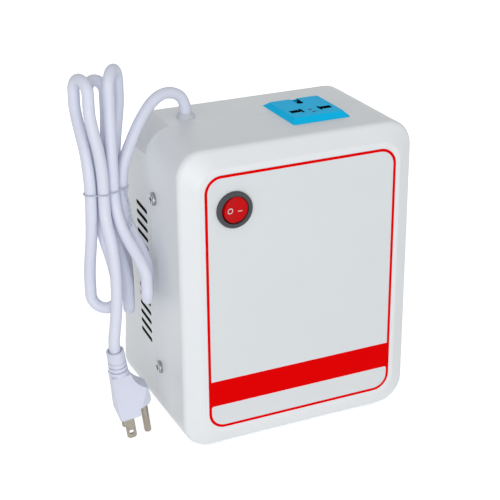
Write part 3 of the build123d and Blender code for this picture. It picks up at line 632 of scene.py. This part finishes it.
def dressSocket():
    # the walls of the plate's holes take painted shade; two small dark windows stand between the
    # holes
    (x0, y0, z0), (x1, y1, z1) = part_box("socket_plate")
    side, end = (margin * mm for margin in socket["margin"])
    spans = [(x0 + side, x1 - side), (y0 + end, y1 - end), (z0 - mm, z1 - socket["below"] * mm)]
    plate = darken(makeFinish("bluePolycarbonate", plateLook), socket["hollow"], spans)
    dress(plate, "socket_plate")
    black = makeFinish("blackPbt", blackLook)
    dress(black, "socket_body", "thermal_cutout")
    width, depth = (size * mm for size in socket["windowSize"])
    for index, (x, back) in enumerate(socket["windows"], 1):
        spot = (x * mm, (datum["front"] + back) * mm, z1 + socket["proud"] * mm)
        window = addPlate("socket_window_%d" % index, spot, width, depth, (0, 0, 0))
        roundCorners(depth * socket["cornerShare"], socket["cornerSteps"])
        applyModifier(window, "SOLIDIFY", thickness=socket["depth"] * mm, offset=-1)
        mount(window, black, "case")


dressSocket()
dress(makeFinish("stampedBrass", brassLook), "line_contact", "neutral_contact", "earth_contact",
      "switch_terminals")
print("socket done")

# Transformer inside
coreLook = {  # stacked silicon steel: grey-blue; its 0.5 mm sheets are drawn 2 mm apart to show
    "colour": "#5B5E62", "patch": "#4A4C50", "patchSize": 9.0, "roughness": 0.5, "metallic": 0.6,
    "bands": ("Y", 2.0), "grain": 0.5,
}
bobbinLook = {  # moulded nylon: waxy cream
    "colour": "#D9D3BF", "patch": "#D2CBB6", "patchSize": 15.0, "roughness": 0.5,
    "grainSize": 0.7, "grain": 0.1,
}
windingLook = {  # enamelled copper wire: warm brown, wound in turns 1.2 mm apart
    "colour": "#B5642C", "patch": "#9C5424", "patchSize": 10.0, "roughness": 0.35,
    "metallic": 0.8, "bands": ("X", 1.2), "grain": 0.6,
}
steelLook = {  # zinc-plated steel: bright grey with soft spangle
    "colour": "#A9ABAD", "patch": "#97999C", "patchSize": 5.0, "roughness": 0.4, "metallic": 1,
    "grainSize": 0.7, "grain": 0.1,
}
boardLook = {  # pressed fibre board: brown and matt
    "colour": "#73553A", "patch": "#694D34", "patchSize": 6.0, "roughness": 0.7,
    "grainSize": 0.7, "grain": 0.3,
}
dress(makeFinish("siliconSteel", coreLook), "core_e_stack", "core_i_stack")
dress(makeFinish("creamNylon", bobbinLook), "coil_bobbin", "terminal_block")
dress(makeFinish("enamelledCopper", windingLook), "input_winding", "output_winding")
dress(makeFinish("zincSteel", steelLook), "core_clamp", "core_bolts", "core_nuts", "base_bolts",
      "base_nuts", "terminal_screws")
dress(makeFinish("fibreBoard", boardLook), "core_pad")
print("transformer done")

# Gland and plug
glandLook = {  # moulded nylon: close to the case's white, slightly darker
    "colour": "#D0D4DB", "patch": "#CBCFD6", "patchSize": 8.0, "roughness": 0.45, "specular": 0.3,
    "grainSize": 0.7, "grain": 0.08,
}
plugLook = {  # PVC moulded over the cord's end: the cord's lavender, satin
    "colour": "#D9DDED", "patch": "#D4D8E9", "patchSize": 12.0, "roughness": 0.42,
    "specular": 0.35, "coat": 0.08, "grainSize": 0.7, "grain": 0.1,
}
bladeLook = {  # nickel-plated brass: warm grey, lightly brushed
    "colour": "#A9A196", "patch": "#8E877D", "patchSize": 3.0, "roughness": 0.32, "metallic": 1,
    "grainSize": 0.6, "grain": 0.15,
}
dress(makeFinish("whiteNylon", glandLook), "cord_gland", "gland_nut")
dress(makeFinish("mouldedPvc", plugLook), "plug_body", "strain_relief")
dress(makeFinish("nickelBrass", bladeLook), "plug_blades", "earth_pin")
print("plug done")

# Floor, world and lights
stage = {
    "floorSize": 8.0,
    "floorColour": "#FFFFFF",
    "floorRoughness": 0.9,
    "floorGlow": 0.62,
    "backdrop": 1.0,
    "ambient": 0.22,
    "soft": [
        {"from": (-0.35, -0.94, 0), "level": 0.76},
        {"from": (0, 0, 1), "level": 0.2},
    ],
    "aim": (0, 0, 0.1),
    "lights": [
        {"name": "key", "place": (-0.45, -1.6, 0.25), "size": 0.5, "power": 4.5},
        {"name": "left", "place": (-0.75, -1.0, 0.2), "size": 0.4, "power": 1.4},
        {"name": "back", "place": (0.4, 1.5, 0.5), "size": 0.8, "power": 5.0, "mirrored": False},
    ],
}


def seenRays(tree):
    # 1 for a ray from the camera, and for one that gloss or clear plastic sends on
    seen = addNode(tree, "ShaderNodeLightPath").outputs
    rays = seen["Is Camera Ray"]
    for kind in ("Is Glossy Ray", "Is Transmission Ray"):
        rays = addNode(tree, "ShaderNodeMath", links={0: rays, 1: seen[kind]},
                       operation="MAXIMUM").outputs[0]
    return rays


def makeFloor():
    floor = addPlate("floor", (0, 0, 0), stage["floorSize"], stage["floorSize"], (0, 0, 0))
    material = bpy.data.materials.new("paleFloor")
    material.use_nodes = True
    tree = material.node_tree
    shader = tree.nodes["Principled BSDF"]
    shader.inputs["Base Color"].default_value = toLinear(stage["floorColour"])
    shader.inputs["Roughness"].default_value = stage["floorRoughness"]
    shader.inputs["Specular IOR Level"].default_value = 0
    # the glow is only seen or mirrored, and lights nothing
    dark = addNode(tree, "ShaderNodeEmission", {"Strength": 0})
    glow = addNode(tree, "ShaderNodeEmission",
                   {"Color": (1, 1, 1, 1), "Strength": stage["floorGlow"]})
    pick = addNode(tree, "ShaderNodeMixShader",
                   links={0: seenRays(tree), 1: dark.outputs[0], 2: glow.outputs[0]})
    both = addNode(tree, "ShaderNodeAddShader", links={0: shader.outputs[0], 1: pick.outputs[0]})
    tree.links.new(both.outputs[0], tree.nodes["Material Output"].inputs["Surface"])
    floor.data.materials.append(material)


def makeWorld():
    # soft glows from the front left and from above over an even one; what is seen or mirrored is
    # plain white
    world = bpy.data.worlds.new("studio")
    bpy.context.scene.world = world
    world.use_nodes = True
    tree = world.node_tree
    place = addNode(tree, "ShaderNodeTexCoord").outputs["Generated"]
    level = addNode(tree, "ShaderNodeValue")
    level.outputs[0].default_value = stage["ambient"]
    total = level.outputs[0]
    for glow in stage["soft"]:
        toward = addNode(tree, "ShaderNodeVectorMath", {1: glow["from"]}, {0: place},
                         operation="DOT_PRODUCT")
        facing = addNode(tree, "ShaderNodeMath", {1: 0}, {0: toward.outputs["Value"]},
                         operation="MAXIMUM")
        total = addNode(tree, "ShaderNodeMath", {1: glow["level"]},
                        {0: facing.outputs[0], 2: total}, operation="MULTIPLY_ADD").outputs[0]
    ambient = addNode(tree, "ShaderNodeBackground", {"Color": (1, 1, 1, 1)}, {"Strength": total})
    white = addNode(tree, "ShaderNodeBackground",
                    {"Color": (1, 1, 1, 1), "Strength": stage["backdrop"]})
    pick = addNode(tree, "ShaderNodeMixShader",
                   links={0: seenRays(tree), 1: ambient.outputs[0], 2: white.outputs[0]})
    tree.links.new(pick.outputs[0], tree.nodes["World Output"].inputs["Surface"])


def makeLights():
    for light in stage["lights"]:
        data = bpy.data.lights.new(light["name"], "AREA")
        data.energy = light["power"]
        data.size = light["size"]
        lamp = bpy.data.objects.new(light["name"], data)
        bpy.context.scene.collection.objects.link(lamp)
        lamp.visible_glossy = light.get("mirrored", True)
        lamp.location = light["place"]
        toward = Vector(stage["aim"]) - Vector(light["place"])
        lamp.rotation_euler = toward.to_track_quat("-Z", "Y").to_euler()


makeFloor()
makeWorld()
makeLights()
bpy.context.scene.view_settings.view_transform = "Standard"
print("stage done")
